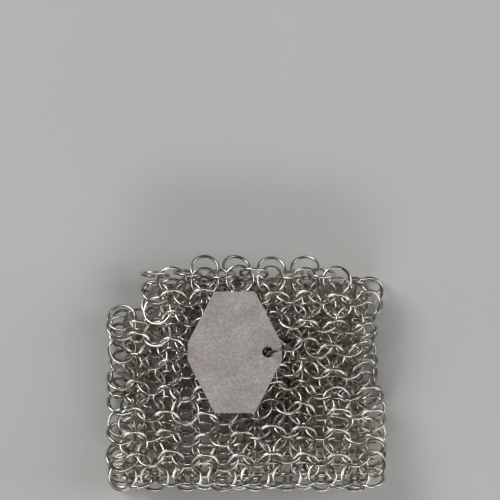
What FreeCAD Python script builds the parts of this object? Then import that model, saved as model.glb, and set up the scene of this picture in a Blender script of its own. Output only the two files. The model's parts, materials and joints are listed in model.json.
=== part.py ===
import FreeCAD, Part
import math
import os
import random
import Sketcher
from collections import namedtuple

# Pot scrubber: a sheet of linked steel rings folded in three layers, with a bare steel tag.
# Millimetres, +Z up, rows of rings along X. The heap stands on Z = 0, its box centred on the origin.
# Every ring passes through two rings of the row before it and two rings of the row after it.

# Driving dimensions: alias, value, meaning
SIZES = (
    ("ring_inner", 9.6, "clear width inside a ring"),
    ("wire", 1.2, "thickness of the wire that the rings are made of"),
    ("row_gap", 1.2, "clear space between neighbours in one row"),
    ("ring_gap", 0.24, "least clear space between loose rings of one panel"),
    ("panel_gap", 0.45, "least clear space between rings of two panels"),
    ("tag_width", 37.0, "tag across its two blunt points"),
    ("tag_height", 47.8, "tag between its two straight ends"),
    ("tag_end", 16.0, "length of each straight end of the tag"),
    ("tag_point", 6.8, "height of each blunt point of the tag"),
    ("tag_thickness", 1.0, "thickness of the tag's sheet"),
    ("tag_corner", 0.9, "radius of the tag's corners"),
    ("tag_edge", 0.15, "broken edge round both faces of the tag"),
    ("tag_hole", 4.2, "bore for the tag's ring"),
    ("tag_hole_inset", 5.5, "from the tag's blunt point to the middle of the bore"),
    ("tag_clearance", 0.5, "free height between the tag and the highest ring under it"),
)

# Counts of rings in a full row, and of rows in each stretch of the sheet
COLUMN_COUNT = 8
LAYER_ROW_COUNT = 17
FOLD_ROW_COUNT = 2
TOP_ROW_COUNT = 16
SLOPE_ROW_COUNT = 2
DROP_ROW_COUNT = 2
PANEL_ROW_COUNTS = (
    ("bottom", LAYER_ROW_COUNT),
    ("far_fold", FOLD_ROW_COUNT),
    ("middle", LAYER_ROW_COUNT),
    ("near_fold", FOLD_ROW_COUNT),
    ("top", TOP_ROW_COUNT),
    ("slope", SLOPE_ROW_COUNT),
    ("drop", DROP_ROW_COUNT),
)
FOLD_STRIPS = ("far_fold", "near_fold")
LOOSE_END = ("top", "slope", "drop")

# Counts of rings that the sheet's rounded outline leaves out at the left and the right end of a row
USUAL_TRIM_COUNTS = (0, 0)
CORNER_TRIM_COUNTS = (1, 0)
CORNER_ROW_COUNT = 3
SLOPE_TRIM_COUNTS = ((1, 0), (1, 1))
DROP_TRIM_COUNTS = ((1, 1), (2, 2))
TRIM_COUNTS = {"slope": SLOPE_TRIM_COUNTS, "drop": DROP_TRIM_COUNTS}

# Pitches and drops as shares of a ring's middle diameter
ROW_PITCH_SHARE = 0.421
FOLD_PITCH_SHARE = 0.354
STRIP_PITCH_SHARE = 0.51
FOLD_DROP_SHARE = 0.0417
RIPPLE_HEIGHT_SHARE = 0.24
RIPPLE_LENGTH_SHARE = 4.35
LONG_MARCH_SHARE = 0.948
CROSS_MARCH_SHARE = 0.796
MIDDLE_DIP_SHARE = 0.13
TOP_DIP_SHARE = 0.15

# Lean of the rings against the sheet, in degrees, the other way in every second row
PANEL_LEAN = 23.0
FOLD_LEAN = 22.5
BESIDE_FOLD_LEAN = 16.2
SECOND_ROW_LEAN = 16.3
DRAPE_LEAN = 20.0

# Turns of the sheet before a row, in degrees
FOLD_TURN = 90.0
FIRST_ROW_TURN = {
    "far_fold": FOLD_TURN,
    "middle": FOLD_TURN,
    "near_fold": -FOLD_TURN,
    "top": -FOLD_TURN,
    "slope": -14.0,
    "drop": -44.0,
}

# Ripples that all layers share: heights as shares of the ripple height, phases in radians
LONG_RIPPLE_SHARE = 0.7
CROSS_RIPPLE_SHARE = 0.5
CROSS_WAVE_SHARE = 0.6
LONG_PHASE = 1.43
CROSS_PHASE = 0.32
BOTTOM_RIPPLE_SHARE = 0.4
MIDDLE_RIPPLE_SHARE = 0.72

# Rows beside a fold that stay level, and rows over which ripples, dips and the sag come and go
LEVEL_ROWS = 2
GROWING_ROWS = 5.0
TOP_FADE_ROWS = 6.0
TOP_FADE_END = 14.5
SAG_ROWS_SHARE = 0.45

# The tag's ring: the link that it hangs on, the bore's place over that link, and how the ring stands
ANCHOR_ROW = 11
ANCHOR_COLUMN = 3
BORE_PLACE_SHARES = (-0.287, -0.124)
TAG_RING_YAW = 24.4
TAG_RING_RISE = 5.0
TAG_RING_ROLL = 8.5
OUTLINE_SAMPLES = 20

# Disorder of the loose rings: shares of a ring's middle diameter, and turns in degrees
DISORDER_SEED = 7
SHIFT_SHARE = 0.075
BUNCH_SHIFT_SHARE = 0.15
TILT = 34.0
BUNCH_TILT = 30.0
BUNCH_LENGTH_SHARES = (2.4, 3.2, 4.2)
SWAY_SHARE = 0.5
SWAY_LENGTH_SHARES = (4.6, 6.0, 8.0)
WAVE_COUNT = 3
BESIDE_FOLD_SHARE = 0.4
FREE_ROWS = 6.0
STILL_REACH_SHARE = 0.83

# How the rings settle: rounds in which they are stirred and come to rest, and how far each round takes them
STIR_COUNT = 150
REST_COUNT = 130
PAIR_ROUND_COUNT = 20
REFINE_COUNT = 2
PULL_SHARE = 0.06
PRESSED_SHARE = 0.05
STEP_SHARE = 0.012
OPENING_SHARES = (0.15, 0.35, 0.55, 0.75, 1.0)

CIRCLE_ANGLES = [2 * math.pi * step / OUTLINE_SAMPLES for step in range(OUTLINE_SAMPLES)]
CIRCLE = [(math.cos(angle), math.sin(angle)) for angle in CIRCLE_ANGLES]

Row = namedtuple("Row", "number panel index y z slope lean")
Link = namedtuple("Link", "row column centre normal")

os.makedirs("parts", exist_ok=True)
doc = FreeCAD.newDocument("pot_scrubber")


def make_sheet():
    """Spreadsheet of the driving dimensions, one alias each."""
    sheet = doc.addObject("Spreadsheet::Sheet", "sizes")
    for line, (alias, value, meaning) in enumerate(SIZES, start=1):
        sheet.set(f"A{line}", alias)
        sheet.set(f"B{line}", str(value))
        sheet.set(f"C{line}", meaning)
        sheet.setAlias(f"B{line}", alias)
    doc.recompute()
    return sheet


sizes = make_sheet()
ring_inner = sizes.get("ring_inner")
wire = sizes.get("wire")
tag_width = sizes.get("tag_width")
tag_height = sizes.get("tag_height")
tag_thickness = sizes.get("tag_thickness")

# Sizes that follow from the rings
ring_radius = (ring_inner + wire) / 2
wire_radius = wire / 2
column_pitch = ring_inner + 2 * wire + sizes.get("row_gap")
row_pitch = ROW_PITCH_SHARE * 2 * ring_radius
fold_pitch = FOLD_PITCH_SHARE * 2 * ring_radius
strip_pitch = STRIP_PITCH_SHARE * 2 * ring_radius
fold_drop = FOLD_DROP_SHARE * 2 * ring_radius
ripple_height = RIPPLE_HEIGHT_SHARE * 2 * ring_radius
ripple_length = RIPPLE_LENGTH_SHARE * 2 * ring_radius
long_march = LONG_MARCH_SHARE * 2 * ring_radius
cross_march = CROSS_MARCH_SHARE * 2 * ring_radius
middle_dip = MIDDLE_DIP_SHARE * 2 * ring_radius
top_dip = TOP_DIP_SHARE * 2 * ring_radius
slope_probe = wire_radius / 10
bunch_lengths = [share * 2 * ring_radius for share in BUNCH_LENGTH_SHARES]
sway_lengths = [share * 2 * ring_radius for share in SWAY_LENGTH_SHARES]
longest_step = STEP_SHARE * 2 * ring_radius
still_reach = STILL_REACH_SHARE * 2 * ring_radius
random_tilt = math.radians(TILT)
bunch_tilt = math.radians(BUNCH_TILT)

# The lower fold stands on its rings, and the bottom layer sags until it is level with their foot
fold_foot = ring_radius * math.cos(math.radians(FOLD_LEAN)) - (fold_pitch / 2 - fold_drop)
bottom_sag = fold_foot - ring_radius * math.sin(math.radians(PANEL_LEAN))


def eased(share):
    """Smooth step from 0 to 1."""
    share = min(1.0, max(0.0, share))
    return share * share * (3 - 2 * share)


def pitch_before(panel, index):
    """Distance along the sheet from the row before."""
    if index == 0 and abs(FIRST_ROW_TURN[panel]) == FOLD_TURN:
        return fold_pitch
    if panel in FOLD_STRIPS:
        return strip_pitch
    return row_pitch


def rows_from_fold(panel, index):
    """How many rows of its layer lie between a row and the nearest fold."""
    count = dict(PANEL_ROW_COUNTS)[panel]
    rows = count
    if panel in ("middle", "top"):
        rows = index
    if panel in ("bottom", "middle"):
        rows = min(rows, count - 1 - index)
    return rows


def lean_of(panel, index):
    """Lean of a row's rings, gentler beside a fold and at the sheet's loose end."""
    if panel in FOLD_STRIPS:
        return FOLD_LEAN
    if panel in LOOSE_END[1:]:
        return DRAPE_LEAN
    leans = (BESIDE_FOLD_LEAN, SECOND_ROW_LEAN, PANEL_LEAN)
    return leans[min(rows_from_fold(panel, index), len(leans) - 1)]


def walk_rows():
    """Rows in order along the folded sheet, and the line that each turn goes about."""
    rows, turn_lines = [], {}
    y, z, slope, number = 0.0, 0.0, 0.0, 0
    for panel, count in PANEL_ROW_COUNTS:
        for index in range(count):
            if number:
                half = pitch_before(panel, index) / 2
                turn = FIRST_ROW_TURN[panel] if index == 0 else 0.0
                offset = -fold_drop * turn / FOLD_TURN
                line_y = y + half * math.cos(slope) - offset * math.sin(slope)
                line_z = z + half * math.sin(slope) + offset * math.cos(slope)
                slope += math.radians(turn)
                y = line_y + half * math.cos(slope) + offset * math.sin(slope)
                z = line_z + half * math.sin(slope) - offset * math.cos(slope)
                if index == 0:
                    turn_lines[panel] = FreeCAD.Vector(0, line_y, line_z)
            side = 1 if number % 2 else -1
            rows.append(Row(number, panel, index, y, z, slope, side * lean_of(panel, index)))
            number += 1
    return rows, turn_lines


def swell(x, y):
    """Ripple that all layers share, as a share of the ripple height."""
    wave = 2 * math.pi * x / ripple_length
    long_wave = LONG_RIPPLE_SHARE * math.sin(wave + LONG_PHASE + y / long_march)
    cross_wave = CROSS_RIPPLE_SHARE * math.sin(CROSS_WAVE_SHARE * wave + CROSS_PHASE - y / cross_march)
    return long_wave + cross_wave


def ripple(panel, index, x, y):
    """Height of the sheet over its panel's level: none at the folds, dipped and rippled between them."""
    count = dict(PANEL_ROW_COUNTS)[panel]
    begun = eased((index - LEVEL_ROWS) / GROWING_ROWS)
    rows_left = count - 1 - LEVEL_ROWS - index
    ending = eased(rows_left / GROWING_ROWS)
    if panel == "bottom":
        lift = BOTTOM_RIPPLE_SHARE * ripple_height * (swell(x, y) + LONG_RIPPLE_SHARE + CROSS_RIPPLE_SHARE)
        return ending * lift - bottom_sag * eased(rows_left / (SAG_ROWS_SHARE * count))
    if panel == "middle":
        return begun * ending * (MIDDLE_RIPPLE_SHARE * ripple_height * swell(x, y) - middle_dip)
    if panel == "top":
        fading = eased((TOP_FADE_END - index) / TOP_FADE_ROWS)
        return begun * fading * (ripple_height * swell(x, y) - top_dip)
    return 0.0


def sheet_point(row, x, ahead):
    """Point of the rippled sheet at x, a little ahead of the row along the sheet."""
    y = row.y + ahead * math.cos(row.slope)
    height = ripple(row.panel, row.index + ahead / row_pitch, x, y)
    return FreeCAD.Vector(x, y, row.z + ahead * math.sin(row.slope) + height)


def link_at(row, column):
    """Centre and axis of one ring."""
    shift = 0.0 if row.number % 2 else column_pitch / 2
    x = ((COLUMN_COUNT - 1) / 2 - column) * column_pitch - shift
    across = sheet_point(row, x + slope_probe, 0.0) - sheet_point(row, x - slope_probe, 0.0)
    along = sheet_point(row, x, slope_probe) - sheet_point(row, x, -slope_probe)
    along.normalize()
    upright = across.cross(along).normalize()
    lean = math.radians(row.lean)
    return Link(row, column, sheet_point(row, x, 0.0), upright * math.cos(lean) - along * math.sin(lean))


def trim_of(row):
    """Rings left out at the left and the right end of a row: one at the left corner of the far side."""
    if row.panel in TRIM_COUNTS:
        return TRIM_COUNTS[row.panel][row.index]
    if row.panel == "far_fold":
        return CORNER_TRIM_COUNTS
    if row.panel == "near_fold":
        return USUAL_TRIM_COUNTS
    rows_after = dict(PANEL_ROW_COUNTS)[row.panel] - 1 - row.index
    rows_from_far_side = row.index if row.panel == "middle" else rows_after
    return CORNER_TRIM_COUNTS if rows_from_far_side < CORNER_ROW_COUNT else USUAL_TRIM_COUNTS


def links_of(row):
    """All rings of one row, from right to left."""
    left_trim, right_trim = trim_of(row)
    return [link_at(row, column) for column in range(right_trim, COLUMN_COUNT - left_trim)]


def reach(normal_share):
    """How far a ring reaches from its centre along a direction."""
    return ring_radius * math.sqrt(max(0.0, 1 - normal_share * normal_share)) + wire_radius


def heap_shift(links):
    """Move that centres the heap over the origin and stands it on Z = 0."""
    spans = []
    for axis in range(3):
        low = min(link.centre[axis] - reach(link.normal[axis]) for link in links)
        high = max(link.centre[axis] + reach(link.normal[axis]) for link in links)
        spans.append((low, high))
    return FreeCAD.Vector(-sum(spans[0]) / 2, -sum(spans[1]) / 2, -spans[2][0])


def tag_corners():
    """The tag's outline about its middle, clockwise from the upper left corner."""
    half_end, half_point = sizes.get("tag_end") / 2, sizes.get("tag_point") / 2
    half_width, half_height = tag_width / 2, tag_height / 2
    upper = [(half_end, half_height), (half_width, half_point)]
    right = upper + [(x, -y) for x, y in reversed(upper)]
    return [(-x, y) for x, y in right[:1]] + right + [(-x, y) for x, y in right[:0:-1]]


def under_tag(x, y):
    """Whether a place measured from the tag's middle is under the tag."""
    corners = tag_corners()
    for (x0, y0), (x1, y1) in zip(corners, corners[1:] + corners[:1]):
        if (x1 - x0) * (y - y0) - (y1 - y0) * (x - x0) > 0:
            return False
    return True


def highest_under_tag(links, tag_x, tag_y):
    """Height of the highest wire under the tag."""
    highest = 0.0
    for link in links:
        turned = FreeCAD.Rotation(FreeCAD.Vector(0, 0, 1), link.normal)
        for step in range(OUTLINE_SAMPLES):
            angle = 2 * math.pi * step / OUTLINE_SAMPLES
            spoke = FreeCAD.Vector(math.cos(angle), math.sin(angle), 0) * ring_radius
            point = link.centre + turned.multVec(spoke)
            if under_tag(point.x - tag_x, point.y - tag_y):
                highest = max(highest, point.z + wire_radius)
    return highest


def place_tag(links):
    """The bore's middle, and the centre and axis of the ring that holds the tag."""
    anchor = next(link for link in links if link.row.panel == "top"
                  and (link.row.index, link.column) == (ANCHOR_ROW, ANCHOR_COLUMN))
    bore_x = anchor.centre.x + BORE_PLACE_SHARES[0] * ring_radius
    bore_y = anchor.centre.y + BORE_PLACE_SHARES[1] * ring_radius
    tag_x = bore_x - (tag_width / 2 - sizes.get("tag_hole_inset"))
    loose = [link for link in links if link.row.panel in LOOSE_END]
    bore_z = highest_under_tag(loose, tag_x, bore_y) + sizes.get("tag_clearance") + tag_thickness / 2
    bore = FreeCAD.Vector(bore_x, bore_y, bore_z)
    yaw, rise, roll = (math.radians(turn) for turn in (TAG_RING_YAW, TAG_RING_RISE, TAG_RING_ROLL))
    outward = FreeCAD.Vector(math.cos(yaw), math.sin(yaw), 0)
    spoke = outward * math.cos(rise) + FreeCAD.Vector(0, 0, math.sin(rise))
    level_axis = outward.cross(FreeCAD.Vector(0, 0, 1))
    axis = level_axis * math.cos(roll) + spoke.cross(level_axis) * math.sin(roll)
    return bore, bore + spoke * ring_radius, axis


def opened(turn_lines, far_share, near_share):
    """Placement of every panel when the folds are opened by shares of their turns."""
    carried = FreeCAD.Placement()
    placements = {"bottom": carried}
    for panel, line in turn_lines.items():
        share = near_share if panel in ("near_fold", "top") else far_share
        turn = FreeCAD.Rotation(FreeCAD.Vector(1, 0, 0), -share * FIRST_ROW_TURN[panel])
        carried = carried * FreeCAD.Placement(FreeCAD.Vector(), turn, line)
        placements[panel] = carried
    placements["tag_ring"] = placements["top"]
    return placements


def limited(vector, longest):
    """A vector, shortened to a longest length."""
    return vector * (longest / vector.Length) if vector.Length > longest else vector


def circle_points(link):
    """Points along the middle of a ring's wire."""
    turned = FreeCAD.Rotation(FreeCAD.Vector(0, 0, 1), link.normal)
    side = turned.multVec(FreeCAD.Vector(ring_radius, 0, 0))
    up = turned.multVec(FreeCAD.Vector(0, ring_radius, 0))
    return [link.centre + side * cosine + up * sine for cosine, sine in CIRCLE]


def onto_ring(point, centre, normal):
    """Nearest point on the middle of a ring's wire."""
    arm = point - centre
    flat = arm - normal * arm.dot(normal)
    return centre + flat * (ring_radius / flat.Length)


def nearest_points(link, points, centre, normal):
    """Nearest points of a ring and of another ring, on the middles of their wires."""
    least, near = ring_radius * ring_radius, points[0]
    for point in points:
        arm = point - centre
        height = arm.dot(normal)
        outward = math.sqrt(max(0.0, arm.dot(arm) - height * height)) - ring_radius
        square = height * height + outward * outward
        if square < least:
            least, near = square, point
    for _ in range(REFINE_COUNT):
        far = onto_ring(near, centre, normal)
        near = onto_ring(far, link.centre, link.normal)
    return near, far


def are_apart(link, centre, normal, space):
    """Whether a space plainly parts two rings: their reach, or one side of a ring's plane."""
    between = centre - link.centre
    if between.Length > 2 * ring_radius + space:
        return True
    turned = ring_radius * link.normal.cross(normal).Length + space
    return abs(between.dot(link.normal)) > turned or abs(between.dot(normal)) > turned


class Disorder:
    """Rings of a sheet folded by hand: each leaves its even place as far as the others leave room."""

    def __init__(self, links, turn_lines, bore):
        self.chance = random.Random(DISORDER_SEED)
        self.links = list(links)
        self.poses = [opened(turn_lines, 0.0, 0.0)]
        self.poses += [opened(turn_lines, share, 0.0) for share in OPENING_SHARES]
        self.poses += [opened(turn_lines, 0.0, share) for share in OPENING_SHARES]
        self.ceiling = bore.z - tag_thickness / 2 - sizes.get("tag_clearance")
        tag_reach = math.hypot(tag_width - sizes.get("tag_hole_inset"), tag_height / 2)
        self.near_tag = [(link.centre - bore).Length < tag_reach + ring_radius for link in links]
        self.walls = [self.farthest(axis) for axis in range(2)]
        self.freedom = [self.freedom_of(number) for number in range(len(links))]
        self.pressed = [0.0 for link in links]
        self.shifts = self.make_waves(bunch_lengths)
        self.tilts = self.make_waves(bunch_lengths)
        self.sways = self.make_waves(sway_lengths)
        self.wanted = [self.wanted_place(link) for link in links]

    def farthest(self, axis):
        """How far the even heap reaches along an axis."""
        return max(link.centre[axis] + reach(link.normal[axis]) for link in self.links)

    def freedom_of(self, number):
        """1 for a loose ring, 0 for the tag's ring, the rings at it and those higher than the tag."""
        link, tag_ring = self.links[number], self.links[-1]
        held = (link.centre - tag_ring.centre).Length < still_reach
        high = self.near_tag[number] and link.centre.z + reach(link.normal.z) > self.ceiling + wire_radius
        return 0.0 if held or high else 1.0

    def random_vector(self, size):
        """Vector of three random parts."""
        return FreeCAD.Vector(*(self.chance.gauss(0, size) for _ in range(3)))

    def make_waves(self, lengths):
        """Waves of a smooth random field of vectors, the same in all layers."""
        waves = []
        for length in lengths * WAVE_COUNT:
            way, phase = self.chance.uniform(0, 2 * math.pi), self.chance.uniform(0, 2 * math.pi)
            push = self.random_vector(1 / math.sqrt(WAVE_COUNT * len(lengths)))
            waves.append((2 * math.pi / length, way, phase, push))
        return waves

    def field(self, waves, place):
        """Vector of the field at a place."""
        total = FreeCAD.Vector()
        for number, way, phase, push in waves:
            along = place.x * math.cos(way) + place.y * math.sin(way)
            total += push * math.sin(number * along + phase)
        return total

    def wanted_place(self, link):
        """Centre and axis that a ring would take with nothing in its way, nearer to even beside a fold."""
        share = BESIDE_FOLD_SHARE
        sway = FreeCAD.Vector()
        if link.row.panel in ("bottom", "middle", "top"):
            free_rows = eased(rows_from_fold(link.row.panel, link.row.index) / FREE_ROWS)
            share += (1 - BESIDE_FOLD_SHARE) * free_rows
            sway = self.field(self.sways, link.centre) * SWAY_SHARE * free_rows
        shift = self.random_vector(SHIFT_SHARE) + self.field(self.shifts, link.centre) * BUNCH_SHIFT_SHARE
        tilt = self.random_vector(random_tilt) + self.field(self.tilts, link.centre) * bunch_tilt
        shift = shift * share + FreeCAD.Vector(sway.x, sway.y, 0)
        normal = link.normal + tilt.cross(link.normal) * share
        return link.centre + shift * 2 * ring_radius, normal.normalize()

    def find_pairs(self):
        """Pairs that may touch: the space to keep, and the second ring's move as seen from the first."""
        pairs = []
        for number, pose in enumerate(self.poses):
            places = [pose[link.row.panel].multVec(link.centre) for link in self.links]
            for first, link in enumerate(self.links):
                for second in range(first):
                    other = self.links[second]
                    same = other.row.panel == link.row.panel
                    far_apart = (places[first] - places[second]).Length > 2 * (ring_radius + wire)
                    if far_apart or (number and same):
                        continue
                    gap = sizes.get("ring_gap" if same else "panel_gap")
                    move = pose[link.row.panel].inverse() * pose[other.row.panel]
                    pairs.append((first, second, gap, move, move.inverse()))
        return pairs

    def pull(self):
        """Move every loose ring that nothing presses a little towards its wanted place."""
        for number, link in enumerate(self.links):
            if not self.freedom[number] or self.pressed[number] > PRESSED_SHARE * wire:
                continue
            centre, normal = self.wanted[number]
            shift = limited((centre - link.centre) * PULL_SHARE, longest_step)
            turn = limited(link.normal.cross(normal) * PULL_SHARE, longest_step / ring_radius)
            normal = link.normal + turn.cross(link.normal)
            self.links[number] = link._replace(centre=link.centre + shift, normal=normal.normalize())

    def push_apart(self, pairs):
        """Shift and turn the rings that come too near each other."""
        points = [circle_points(link) for link in self.links]
        pushes = [[] for _ in self.links]
        self.pressed = [0.0 for _ in self.links]
        for first, second, gap, move, back in pairs:
            link, other = self.links[first], self.links[second]
            place = move.multVec(other.centre)
            axis = move.Rotation.multVec(other.normal)
            if are_apart(link, place, axis, wire + gap):
                continue
            near, far = nearest_points(link, points[first], place, axis)
            apart = near - far
            over = wire + gap - apart.Length
            free = self.freedom[first] + self.freedom[second]
            if over > 0 and free:
                push = apart * (min(over, longest_step) / apart.Length / free)
                back_push = back.Rotation.multVec(push * -self.freedom[second])
                pushes[first].append((near, push * self.freedom[first]))
                pushes[second].append((back.multVec(far), back_push))
                self.pressed[first] = max(self.pressed[first], over)
                self.pressed[second] = max(self.pressed[second], over)
        for number, found in enumerate(pushes):
            if found:
                self.give_way(number, found)

    def give_way(self, number, pushes):
        """Shift and turn one ring by the pushes that it gets."""
        link = self.links[number]
        shift, turn = FreeCAD.Vector(), FreeCAD.Vector()
        for point, push in pushes:
            shift += push
            turn += (point - link.centre).cross(push) / ring_radius / ring_radius
        damping = 1 + len(pushes) / 2
        normal = link.normal + (turn / damping).cross(link.normal)
        self.links[number] = link._replace(centre=link.centre + shift / damping, normal=normal.normalize())

    def keep_inside(self):
        """Keep loose rings over the floor, inside the even outline and, near the tag, under it."""
        for number, link in enumerate(self.links):
            height = reach(link.normal.z)
            move = FreeCAD.Vector(0, 0, max(0.0, height - link.centre.z))
            if self.near_tag[number]:
                move.z -= max(0.0, link.centre.z + height - self.ceiling) / 2
            for axis, wall in enumerate(self.walls):
                outside = max(0.0, abs(link.centre[axis]) + reach(link.normal[axis]) - wall)
                move[axis] = -math.copysign(outside / 2, link.centre[axis])
            self.links[number] = link._replace(centre=link.centre + move * self.freedom[number])

    def settled(self):
        """All rings where they come to lie."""
        for number in range(STIR_COUNT + REST_COUNT):
            if number % PAIR_ROUND_COUNT == 0:
                pairs = self.find_pairs()
            if number < STIR_COUNT:
                self.pull()
            self.push_apart(pairs)
            self.keep_inside()
        print(f"settled: {max(self.pressed):.3f} short of the clear space at most")
        return self.links


def make_ring(name, centre, normal):
    """One closed ring of round wire."""
    ring = doc.addObject("Part::Torus", name)
    ring.setExpression("Radius1", "(sizes.ring_inner + sizes.wire) / 2")
    ring.setExpression("Radius2", "sizes.wire / 2")
    ring.Placement = FreeCAD.Placement(centre, FreeCAD.Rotation(FreeCAD.Vector(0, 0, 1), normal))
    return ring


def make_row(row, links):
    """A row of rings as one sub-part of separate solids."""
    label = f"{row.panel}_row_{row.index + 1:02d}"
    rings = [make_ring(f"{label}_ring_{link.column + 1}", link.centre, link.normal) for link in links]
    group = doc.addObject("Part::Compound", label)
    group.Links = rings
    group.Label = label
    return group


def plane_of(body, role):
    """One of a body's own origin planes."""
    return next(plane for plane in body.Origin.OriginFeatures if plane.Role == role)


def tie_point(sketch, line, x_expression, y_expression):
    """Hold the start of a sketch line at two bound distances from the sketch's origin."""
    for kind, expression in (("DistanceX", x_expression), ("DistanceY", y_expression)):
        held = sketch.addConstraint(Sketcher.Constraint(kind, -1, 1, line, 1, 0.0))
        sketch.setExpression(f"Constraints[{held}]", expression)


def make_tag_outline(body):
    """Closed eight-cornered outline, each corner bound to the sheet."""
    sketch = body.newObject("Sketcher::SketchObject", "tag_outline")
    sketch.AttachmentSupport = [(plane_of(body, "XY_Plane"), "")]
    sketch.MapMode = "FlatFace"
    points = [FreeCAD.Vector(x, y, 0) for x, y in tag_corners()]
    for start, end in zip(points, points[1:] + points[:1]):
        sketch.addGeometry(Part.LineSegment(start, end))
    for line in range(len(points)):
        sketch.addConstraint(Sketcher.Constraint("Coincident", line, 2, (line + 1) % len(points), 1))
    for line, point in enumerate(points):
        level = abs(point.y) > abs(points[2].y)
        x_size, y_size = ("tag_end", "tag_height") if level else ("tag_width", "tag_point")
        x_sign = "" if point.x > 0 else "-"
        y_sign = "" if point.y > 0 else "-"
        tie_point(sketch, line, f"{x_sign}sizes.{x_size} / 2", f"{y_sign}sizes.{y_size} / 2")
    return sketch


def make_bore_outline(body):
    """Circle of the bore, bound to the sheet."""
    sketch = body.newObject("Sketcher::SketchObject", "bore_outline")
    sketch.AttachmentSupport = [(plane_of(body, "XY_Plane"), "")]
    sketch.MapMode = "FlatFace"
    middle = FreeCAD.Vector(tag_width / 2 - sizes.get("tag_hole_inset"), 0, 0)
    circle = sketch.addGeometry(Part.Circle(middle, FreeCAD.Vector(0, 0, 1), sizes.get("tag_hole") / 2))
    sketch.addConstraint(Sketcher.Constraint("PointOnObject", circle, 3, -1))
    place = sketch.addConstraint(Sketcher.Constraint("DistanceX", -1, 1, circle, 3, middle.x))
    sketch.setExpression(f"Constraints[{place}]", "sizes.tag_width / 2 - sizes.tag_hole_inset")
    width = sketch.addConstraint(Sketcher.Constraint("Diameter", circle, sizes.get("tag_hole")))
    sketch.setExpression(f"Constraints[{width}]", "sizes.tag_hole")
    return sketch


def upright_edges(shape):
    """Names of the straight edges that stand along the tag's thickness."""
    names = []
    for number, edge in enumerate(shape.Edges, start=1):
        run = edge.Vertexes[-1].Point - edge.Vertexes[0].Point
        if edge.Curve.TypeId == "Part::GeomLine" and abs(run.z) > abs(run.x) + abs(run.y):
            names.append(f"Edge{number}")
    return names


def level_faces(shape):
    """Names of the two large faces."""
    broad = max(face.Area for face in shape.Faces) / 2
    return [f"Face{number}" for number, face in enumerate(shape.Faces, start=1) if face.Area > broad]


def make_tag(bore):
    """Bare flat tag with blunt points left and right, rounded corners and one bore."""
    body = doc.addObject("PartDesign::Body", "tag")
    body.Label = "tag"
    pad = body.newObject("PartDesign::Pad", "tag_sheet")
    pad.Profile = make_tag_outline(body)
    pad.setExpression("Length", "sizes.tag_thickness")
    doc.recompute()
    corners = body.newObject("PartDesign::Fillet", "tag_corners")
    corners.Base = (pad, upright_edges(pad.Shape))
    corners.setExpression("Radius", "sizes.tag_corner")
    doc.recompute()
    pocket = body.newObject("PartDesign::Pocket", "tag_bore")
    pocket.Profile = make_bore_outline(body)
    pocket.Type = "ThroughAll"
    pocket.Reversed = True
    doc.recompute()
    breaks = body.newObject("PartDesign::Chamfer", "tag_broken_edges")
    breaks.Base = (pocket, level_faces(pocket.Shape))
    breaks.setExpression("Size", "sizes.tag_edge")
    doc.recompute()
    if not breaks.Shape.Volume < pocket.Shape.Volume < corners.Shape.Volume < pad.Shape.Volume:
        raise RuntimeError("a cut of the tag took nothing away")
    corner = FreeCAD.Vector(tag_width / 2 - sizes.get("tag_hole_inset"), 0, tag_thickness / 2)
    body.Placement = FreeCAD.Placement(bore - corner, FreeCAD.Rotation())
    return body


def check(parts):
    """Stop on any failed object or unsound solid."""
    for item in doc.Objects:
        if "Invalid" in item.State or "Error" in item.State:
            raise RuntimeError(f"{item.Label} failed: {item.State}")
    for part in parts:
        if part.Shape.isNull() or not part.Shape.isValid() or not part.Shape.Solids:
            raise RuntimeError(f"{part.Label} has no sound solid")


rows, turn_lines = walk_rows()
even_links = [link for row in rows for link in links_of(row)]
shift = heap_shift(even_links)
even_links = [link._replace(centre=link.centre + shift) for link in even_links]
turn_lines = {panel: line + shift for panel, line in turn_lines.items()}
bore, tag_ring_centre, tag_ring_axis = place_tag(even_links)
held_row = Row(len(rows), "tag_ring", 0, 0.0, 0.0, 0.0, 0.0)
held_link = Link(held_row, 0, tag_ring_centre, tag_ring_axis)
links = Disorder(even_links + [held_link], turn_lines, bore).settled()[:-1]

# The heap's box moves a little as the rings settle, so everything moves back over the origin
shift = heap_shift(links)
links = [link._replace(centre=link.centre + shift) for link in links]
turn_lines = {panel: line + shift for panel, line in turn_lines.items()}
bore += shift
tag_ring_centre += shift

parts = [make_row(row, [link for link in links if link.row is row]) for row in rows]
parts.append(make_tag(bore))
tag_ring = make_ring("tag_ring", tag_ring_centre, tag_ring_axis)
tag_ring.Label = "tag_ring"
parts.append(tag_ring)
doc.recompute()
check(parts)

for part in parts:
    part.Shape.exportStep(f"parts/{part.Label}.step")

# Lines that the panels turn about, and the two lines of the tag
for panel, line in turn_lines.items():
    print(f"{panel}: turns about X at y {line.y:.3f}, z {line.z:.3f}")
ring_place = [round(value, 3) for value in tag_ring_centre]
ring_turn = [round(value, 4) for value in tag_ring_axis]
print("tag bore:", [round(value, 3) for value in bore])
print("tag ring:", ring_place, ring_turn)
print("rings:", len(links) + 1, "sub-parts:", len(parts))
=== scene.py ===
"""Looks of a pot scrubber: a folded sheet of linked steel rings with a bare steel tag."""

import json
import math

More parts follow.
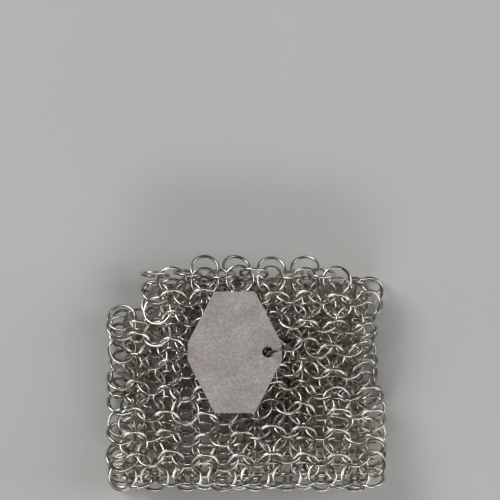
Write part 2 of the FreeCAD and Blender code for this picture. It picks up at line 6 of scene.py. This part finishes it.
import bmesh
import bpy
import numpy as np
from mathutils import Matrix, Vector


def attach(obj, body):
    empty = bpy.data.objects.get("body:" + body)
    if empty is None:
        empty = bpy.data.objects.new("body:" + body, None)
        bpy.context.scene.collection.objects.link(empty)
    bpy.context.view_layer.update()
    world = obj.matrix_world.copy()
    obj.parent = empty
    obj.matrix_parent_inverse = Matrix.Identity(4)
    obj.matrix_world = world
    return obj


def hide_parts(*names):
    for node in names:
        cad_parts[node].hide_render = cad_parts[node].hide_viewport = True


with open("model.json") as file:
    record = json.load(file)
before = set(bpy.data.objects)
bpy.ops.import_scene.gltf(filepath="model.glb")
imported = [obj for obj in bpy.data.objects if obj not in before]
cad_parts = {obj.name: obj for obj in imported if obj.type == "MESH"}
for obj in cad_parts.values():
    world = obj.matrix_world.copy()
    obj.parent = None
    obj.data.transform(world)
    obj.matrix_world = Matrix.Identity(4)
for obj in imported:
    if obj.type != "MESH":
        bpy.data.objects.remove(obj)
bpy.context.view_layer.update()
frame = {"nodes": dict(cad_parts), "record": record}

MM = 0.001
FULL_TURN = 2 * math.pi

# Rows of rings and the bodies that carry them
ROWS = sorted(name for name in frame["nodes"] if "_row_" in name)
BODY_OF = {node: body for body, nodes in frame["record"]["behaviour"]["bodies"].items() for node in nodes}

# Ring meshes: counts of points, how far a ring is off round, and its swelling at the weld
AROUND_RING = 48
AROUND_WIRE = 12
OVAL = 0.012
WELD_SWELL = 0.14
WELD_HALF_ANGLE = math.radians(6.0)
SEED = 7

# Rings of the CAD: points within this distance are one, and an axis with this share along X lies sideways
SAME_POINT = 0.001 * MM
SIDEWAYS = 0.7

# Wire: tones from the ring that holds the tag, darkened as painted shade, to the brightest link, stains,
# welds and drawn surface
TAG_RING_PAINTED_SHADE_TONE = 0.0
LEAST_LINK_TONE = 0.1
MOST_LINK_TONE = 1.0
WIRE_TONES = (
    # Ring that holds the tag: a near-black colour that is painted shade
    (TAG_RING_PAINTED_SHADE_TONE, (0.12, 0.118, 0.12)),
    (LEAST_LINK_TONE, (0.42, 0.405, 0.37)),
    (MOST_LINK_TONE, (0.62, 0.605, 0.57)),
)
STAIN_SCALE = 260.0
STAIN_DETAIL = 4.0
STAIN_TONES = ((0.42, (1.0, 1.0, 1.0)), (0.72, (0.80, 0.74, 0.62)))
WELD_COLOUR = (0.42, 0.37, 0.30, 1.0)
WIRE_ROUGHNESS = (0.18, 0.36)
DRAWN_SCALE = 2600.0
DRAWN_DETAIL = 3.0
DRAWN_STRENGTH = 0.12
DRAWN_DEPTH = 0.04 * MM

# Tag: brushed lines along it, fine speckles and faint patches
BRUSH_STRETCH = (160.0, 5200.0, 5200.0)
BRUSH_SCALE = 1.0
BRUSH_TONES = ((0.25, (0.55, 0.505, 0.488)), (0.75, (0.70, 0.65, 0.625)))
BRUSH_STRENGTH = 0.15
BRUSH_DEPTH = 0.05 * MM
SPECKLE_SCALE = 1700.0
SPECKLE_TONES = ((0.35, (0.72, 0.72, 0.72)), (0.65, (1.06, 1.06, 1.06)))
PATCH_SCALE = 110.0
PATCH_TONES = ((0.35, (0.88, 0.86, 0.85)), (0.65, (1.05, 1.05, 1.05)))
TAG_DETAIL = 3.0
TAG_ROUGHNESS = (0.50, 0.66)

# Floor
FLOOR_HALF = 3.0
FLOOR_SCALE = 6.0
FLOOR_DETAIL = 2.0
FLOOR_TONES = ((0.3, (0.47, 0.47, 0.46)), (0.7, (0.50, 0.50, 0.49)))
FLOOR_ROUGHNESS = 0.9

# Light: the room's own, and softboxes with their place, size and power
ROOM_COLOUR = (0.035, 0.034, 0.031, 1.0)
SOFTBOXES = (
    ("key", (-0.8, 0.7, 0.95), (0.7, 0.7), 13.3),
    ("fill", (1.05, 0.1, 0.75), (0.6, 1.2), 8.3),
    ("back", (0.1, -1.1, 0.65), (1.0, 0.3), 7.4),
)

# The photograph's frame: 500 pixels wide, and where the middle of the part lies in it
IMAGE_PIXELS = 500
PIXEL = 0.4 * MM
PART_PIXEL = (246.5, 371.5)
CAMERA_HEIGHT = 1.5

# Sockets of a node that mixes colours
MIX_FACTOR, MIX_FIRST, MIX_SECOND = 0, 6, 7
MIX_RESULT = 2

rng = np.random.default_rng(SEED)


def ring_of(points):
    """Centre, axis, and inner and outer radius of one ring from its points."""
    centre = points.mean(0)
    spokes = points - centre
    axis = np.linalg.svd(spokes, full_matrices=False)[2][2]
    reach = np.linalg.norm(spokes - np.outer(spokes @ axis, axis), axis=1)
    return centre, axis * np.sign(axis[2] or 1.0), reach.min(), reach.max()


def rings_of(node):
    """All rings of one CAD node, from left to right."""
    shape = bmesh.new()
    shape.from_mesh(frame["nodes"][node].data)
    bmesh.ops.remove_doubles(shape, verts=shape.verts, dist=SAME_POINT)
    shape.verts.index_update()
    shape.verts.ensure_lookup_table()
    found_rings = []
    left = set(range(len(shape.verts)))
    while left:
        found, waiting = [], [left.pop()]
        while waiting:
            point = shape.verts[waiting.pop()]
            found.append(point.co[:])
            fresh = {line.other_vert(point).index for line in point.link_edges} & left
            waiting += sorted(fresh)
            left -= fresh
        found_rings.append(ring_of(np.array(found)))
    shape.free()
    return sorted(found_rings, key=lambda ring: ring[0][0])


rings = {node: rings_of(node) for node in ROWS + ["tag_ring"]}
INNER, OUTER = rings["tag_ring"][0][2:]
RADIUS = (OUTER + INNER) / 2
WIRE_RADIUS = (OUTER - INNER) / 2


def spokes_of(axis):
    """Two spokes of a ring, across each other."""
    helper = (1.0, 0.0, 0.0) if abs(axis[0]) < SIDEWAYS else (0.0, 1.0, 0.0)
    side = np.cross(axis, helper)
    side /= np.linalg.norm(side)
    return side, np.cross(axis, side)


def ring_points(centre, axis):
    """Points of one ring, wire point by wire point along the ring, and how near each is to its weld."""
    side, up = spokes_of(axis)
    weld = rng.uniform(0, FULL_TURN)
    oval = 1 + OVAL * rng.uniform(-1, 1)
    turns = np.linspace(0, FULL_TURN, AROUND_RING, endpoint=False)
    offset = np.abs((turns - weld + math.pi) % FULL_TURN - math.pi)
    at_weld = np.exp(-(offset / WELD_HALF_ANGLE) ** 2)
    out = oval * np.cos(turns)[:, None] * side + np.sin(turns)[:, None] * up / oval
    thick = WIRE_RADIUS * (1 + WELD_SWELL * at_weld)
    minor = np.linspace(0, FULL_TURN, AROUND_WIRE, endpoint=False)
    spread = np.cos(minor)[None, :, None] * out[:, None] + np.sin(minor)[None, :, None] * axis
    points = centre + RADIUS * out[:, None] + thick[:, None, None] * spread
    return points.reshape(-1, 3), np.repeat(at_weld, AROUND_WIRE)


def ring_faces(first):
    """Quads of one ring whose points start at an index."""
    ring, wire = np.meshgrid(np.arange(AROUND_RING), np.arange(AROUND_WIRE), indexing="ij")
    next_ring, next_wire = (ring + 1) % AROUND_RING, (wire + 1) % AROUND_WIRE
    corners = ((ring, wire), (next_ring, wire), (next_ring, next_wire), (ring, next_wire))
    return first + np.stack([(a * AROUND_WIRE + b).ravel() for a, b in corners], 1)


def tone_of(node):
    """Random tone of one ring; the ring that holds the tag gets a dark tone that is painted shade."""
    tone = rng.uniform(LEAST_LINK_TONE, MOST_LINK_TONE)
    return TAG_RING_PAINTED_SHADE_TONE if node == "tag_ring" else tone


def make_rings(node, material):
    """The wire rings that stand for one CAD node."""
    points, faces, welds, tones = [], [], [], []
    for centre, axis, _, _ in rings[node]:
        ring, weld = ring_points(centre, axis)
        faces.append(ring_faces(len(ring) * len(points)))
        points.append(ring)
        welds.append(weld)
        tones.append(np.full(len(ring), tone_of(node)))
    mesh = bpy.data.meshes.new(node + "_wire")
    mesh.from_pydata(np.concatenate(points).tolist(), [], np.concatenate(faces).tolist())
    mesh.shade_smooth()
    for name, values in (("weld", welds), ("tone", tones)):
        layer = mesh.attributes.new(name, "FLOAT", "POINT")
        layer.data.foreach_set("value", np.concatenate(values))
    mesh.materials.append(material)
    piece = bpy.data.objects.new(node + "_wire", mesh)
    bpy.context.scene.collection.objects.link(piece)
    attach(piece, BODY_OF[node])
    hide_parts(node)


class Nodes:
    """A material's node tree with short calls."""

    def __init__(self, name):
        self.material = bpy.data.materials.new(name)
        self.material.use_nodes = True
        self.tree = self.material.node_tree
        self.shader = self.tree.nodes["Principled BSDF"]

    def add(self, kind, **settings):
        """A new node, with sockets and settings by name."""
        node = self.tree.nodes.new(kind)
        for name, value in settings.items():
            if name in node.inputs:
                node.inputs[name].default_value = value
            else:
                setattr(node, name, value)
        return node

    def link(self, output, target):
        """Lead an output to a node's input."""
        self.tree.links.new(output, target)

    def place(self):
        """Place on the object, in metres."""
        return self.add("ShaderNodeTexCoord").outputs["Object"]

    def attribute(self, name):
        """Value kept on the mesh's points."""
        return self.add("ShaderNodeAttribute", attribute_name=name).outputs["Fac"]

    def noise(self, place, scale, detail):
        """Noise over places."""
        noise = self.add("ShaderNodeTexNoise", Scale=scale, Detail=detail)
        self.link(place, noise.inputs["Vector"])
        return noise.outputs["Fac"]

    def ramp(self, source, stops):
        """Colours for a value, from stops of place and colour."""
        ramp = self.add("ShaderNodeValToRGB")
        while len(ramp.color_ramp.elements) < len(stops):
            ramp.color_ramp.elements.new(1.0)
        for element, (place, colour) in zip(ramp.color_ramp.elements, stops):
            element.position = place
            element.color = (*colour, 1.0)
        self.link(source, ramp.inputs["Fac"])
        return ramp.outputs["Color"]

    def mix(self, factor, first, second):
        """One colour that goes over to a fixed second one."""
        mix = self.add("ShaderNodeMix", data_type="RGBA")
        self.link(factor, mix.inputs[MIX_FACTOR])
        self.link(first, mix.inputs[MIX_FIRST])
        mix.inputs[MIX_SECOND].default_value = second
        return mix.outputs[MIX_RESULT]

    def product(self, first, second):
        """Two colours multiplied."""
        mix = self.add("ShaderNodeMix", data_type="RGBA", blend_type="MULTIPLY")
        mix.inputs[MIX_FACTOR].default_value = 1.0
        self.link(first, mix.inputs[MIX_FIRST])
        self.link(second, mix.inputs[MIX_SECOND])
        return mix.outputs[MIX_RESULT]

    def roughen(self, source, low, high):
        """Roughness between two limits."""
        span = self.add("ShaderNodeMapRange")
        span.inputs["To Min"].default_value = low
        span.inputs["To Max"].default_value = high
        self.link(source, span.inputs["Value"])
        self.link(span.outputs["Result"], self.shader.inputs["Roughness"])

    def emboss(self, height, strength, depth):
        """Fine relief of the surface."""
        bump = self.add("ShaderNodeBump", Strength=strength, Distance=depth)
        self.link(height, bump.inputs["Height"])
        self.link(bump.outputs["Normal"], self.shader.inputs["Normal"])


def wire_material():
    """Bright drawn stainless steel wire with small welds, and the ring that holds the tag darkened as
    painted shade.
    """
    nodes = Nodes("steel_wire")
    place = nodes.place()
    stains = nodes.noise(place, STAIN_SCALE, STAIN_DETAIL)
    drawn = nodes.noise(place, DRAWN_SCALE, DRAWN_DETAIL)
    colour = nodes.product(nodes.ramp(nodes.attribute("tone"), WIRE_TONES), nodes.ramp(stains, STAIN_TONES))
    colour = nodes.mix(nodes.attribute("weld"), colour, WELD_COLOUR)
    nodes.link(colour, nodes.shader.inputs["Base Color"])
    nodes.shader.inputs["Metallic"].default_value = 1.0
    nodes.roughen(stains, *WIRE_ROUGHNESS)
    nodes.emboss(drawn, DRAWN_STRENGTH, DRAWN_DEPTH)
    return nodes.material


def tag_material():
    """Fine brushed steel sheet, a little speckled and patchy."""
    nodes = Nodes("brushed_tag")
    place = nodes.place()
    stretch = nodes.add("ShaderNodeMapping", Scale=BRUSH_STRETCH)
    nodes.link(place, stretch.inputs["Vector"])
    lines = nodes.noise(stretch.outputs["Vector"], BRUSH_SCALE, TAG_DETAIL)
    speckles = nodes.ramp(nodes.noise(place, SPECKLE_SCALE, TAG_DETAIL), SPECKLE_TONES)
    patches = nodes.ramp(nodes.noise(place, PATCH_SCALE, TAG_DETAIL), PATCH_TONES)
    colour = nodes.product(nodes.product(nodes.ramp(lines, BRUSH_TONES), speckles), patches)
    nodes.link(colour, nodes.shader.inputs["Base Color"])
    nodes.shader.inputs["Metallic"].default_value = 1.0
    nodes.roughen(lines, *TAG_ROUGHNESS)
    nodes.emboss(lines, BRUSH_STRENGTH, BRUSH_DEPTH)
    return nodes.material


def floor_material():
    """Plain pale matt floor."""
    nodes = Nodes("pale_floor")
    haze = nodes.noise(nodes.place(), FLOOR_SCALE, FLOOR_DETAIL)
    nodes.link(nodes.ramp(haze, FLOOR_TONES), nodes.shader.inputs["Base Color"])
    nodes.shader.inputs["Roughness"].default_value = FLOOR_ROUGHNESS
    return nodes.material


def make_floor():
    """A large plain floor under the part."""
    signs = ((-1, -1), (1, -1), (1, 1), (-1, 1))
    corners = [(x * FLOOR_HALF, y * FLOOR_HALF, 0) for x, y in signs]
    mesh = bpy.data.meshes.new("floor")
    mesh.from_pydata(corners, [], [range(len(corners))])
    mesh.materials.append(floor_material())
    floor = bpy.data.objects.new("floor", mesh)
    bpy.context.scene.collection.objects.link(floor)


def make_softbox(name, place, size, power):
    """One soft area lamp that looks at the part."""
    lamp = bpy.data.lights.new(name, "AREA")
    lamp.shape = "RECTANGLE"
    lamp.size, lamp.size_y = size
    lamp.energy = power
    box = bpy.data.objects.new(name, lamp)
    box.location = place
    box.rotation_euler = (-Vector(place)).to_track_quat("-Z", "Y").to_euler()
    bpy.context.scene.collection.objects.link(box)


def make_light():
    """Plain soft studio light: a dim warm room and three softboxes."""
    world = bpy.data.worlds.new("room")
    bpy.context.scene.world = world
    world.use_nodes = True
    room = world.node_tree.nodes["Background"]
    room.inputs["Color"].default_value = ROOM_COLOUR
    room.inputs["Strength"].default_value = 1.0
    for softbox in SOFTBOXES:
        make_softbox(*softbox)


def make_camera():
    """Camera that looks straight down on the frame's middle."""
    lens = bpy.data.cameras.new("camera")
    lens.sensor_fit = "HORIZONTAL"
    lens.angle = 2 * math.atan(IMAGE_PIXELS * PIXEL / 2 / CAMERA_HEIGHT)
    camera = bpy.data.objects.new("camera", lens)
    middle = IMAGE_PIXELS / 2
    camera.location = ((middle - PART_PIXEL[0]) * PIXEL, (PART_PIXEL[1] - middle) * PIXEL, CAMERA_HEIGHT)
    bpy.context.scene.collection.objects.link(camera)
    bpy.context.scene.camera = camera


steel_wire = wire_material()
for node in rings:
    make_rings(node, steel_wire)
tag = frame["nodes"]["tag"]
tag.data.materials.clear()
tag.data.materials.append(tag_material())
make_floor()
make_light()
make_camera()
bpy.context.scene.view_settings.view_transform = "Standard"
